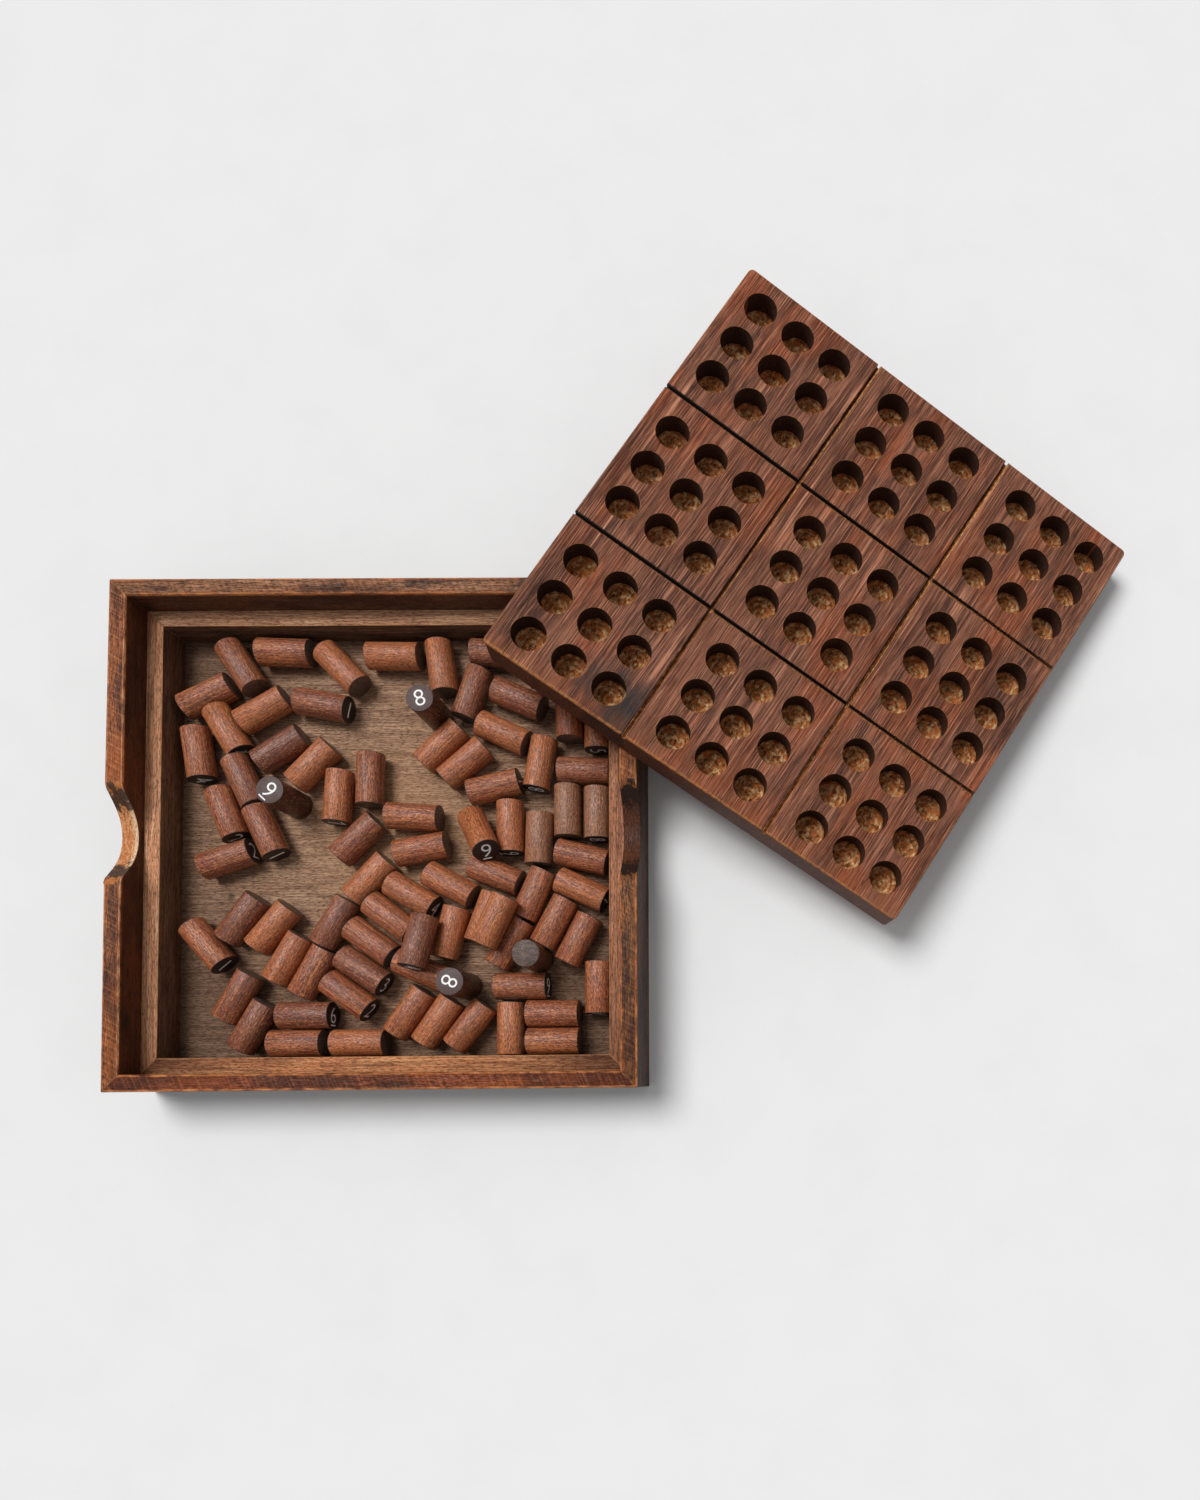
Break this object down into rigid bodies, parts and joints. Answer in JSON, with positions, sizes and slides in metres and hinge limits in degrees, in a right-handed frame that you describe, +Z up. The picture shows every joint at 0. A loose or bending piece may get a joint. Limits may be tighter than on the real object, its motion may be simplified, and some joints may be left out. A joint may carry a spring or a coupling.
{
  "type": "sudoku board",
  "caption": "Wooden sudoku set: an open tray with finger notches and inner ledges, a drilled peg board that leans on its wall, and loose round numbered pegs.",
  "frame": {"origin": "the middle of the tray's underside", "axes": "+Z up; +X along the tray's longer side, towards the side that the board leans on, across the grain of the notched walls; +Y away from the player"},
  "size_m": [0.4833, 0.3796, 0.0616],
  "materials": {
    "wall_wood": "burnt and oiled",
    "ledge_wood": "stained",
    "floor_plywood": "stained",
    "board_wood": "weathered, stained",
    "peg_wood": "stained"
  },
  "bodies": {
    "tray": {"wall_front": "wall_wood", "wall_back": "wall_wood", "wall_right": "wall_wood", "wall_left": "wall_wood", "ledge_front": "ledge_wood", "ledge_back": "ledge_wood", "ledge_right": "ledge_wood", "ledge_left": "ledge_wood", "floor_panel": "floor_plywood"},
    "board": {"board": "board_wood"},
    "pegs_1": {"pegs_1": "peg_wood"},
    "pegs_2": {"pegs_2": "peg_wood"},
    "pegs_3": {"pegs_3": "peg_wood"},
    "pegs_4": {"pegs_4": "peg_wood"},
    "pegs_5": {"pegs_5": "peg_wood"},
    "pegs_6": {"pegs_6": "peg_wood"},
    "pegs_7": {"pegs_7": "peg_wood"},
    "pegs_8": {"pegs_8": "peg_wood"},
    "pegs_9": {"pegs_9": "peg_wood"}
  },
  "joints": [
    {"name": "board_lift", "type": "slide", "parent": "tray", "child": "board", "axis": [0, 0, 1], "range_m": [0, 0.12]},
    {"name": "pegs_1_lift", "type": "slide", "parent": "tray", "child": "pegs_1", "axis": [0, 0, 1], "range_m": [0, 0.05]},
    {"name": "pegs_2_lift", "type": "slide", "parent": "tray", "child": "pegs_2", "axis": [0, 0, 1], "range_m": [0, 0.05]},
    {"name": "pegs_3_lift", "type": "slide", "parent": "tray", "child": "pegs_3", "axis": [0, 0, 1], "range_m": [0, 0.05]},
    {"name": "pegs_4_lift", "type": "slide", "parent": "tray", "child": "pegs_4", "axis": [0, 0, 1], "range_m": [0, 0.05]},
    {"name": "pegs_5_lift", "type": "slide", "parent": "tray", "child": "pegs_5", "axis": [0, 0, 1], "range_m": [0, 0.018]},
    {"name": "pegs_6_lift", "type": "slide", "parent": "tray", "child": "pegs_6", "axis": [0, 0, 1], "range_m": [0, 0.05]},
    {"name": "pegs_7_lift", "type": "slide", "parent": "tray", "child": "pegs_7", "axis": [0, 0, 1], "range_m": [0, 0.05]},
    {"name": "pegs_8_lift", "type": "slide", "parent": "tray", "child": "pegs_8", "axis": [0, 0, 1], "range_m": [0, 0.05]},
    {"name": "pegs_9_lift", "type": "slide", "parent": "tray", "child": "pegs_9", "axis": [0, 0, 1], "range_m": [0, 0.05]}
  ]
}
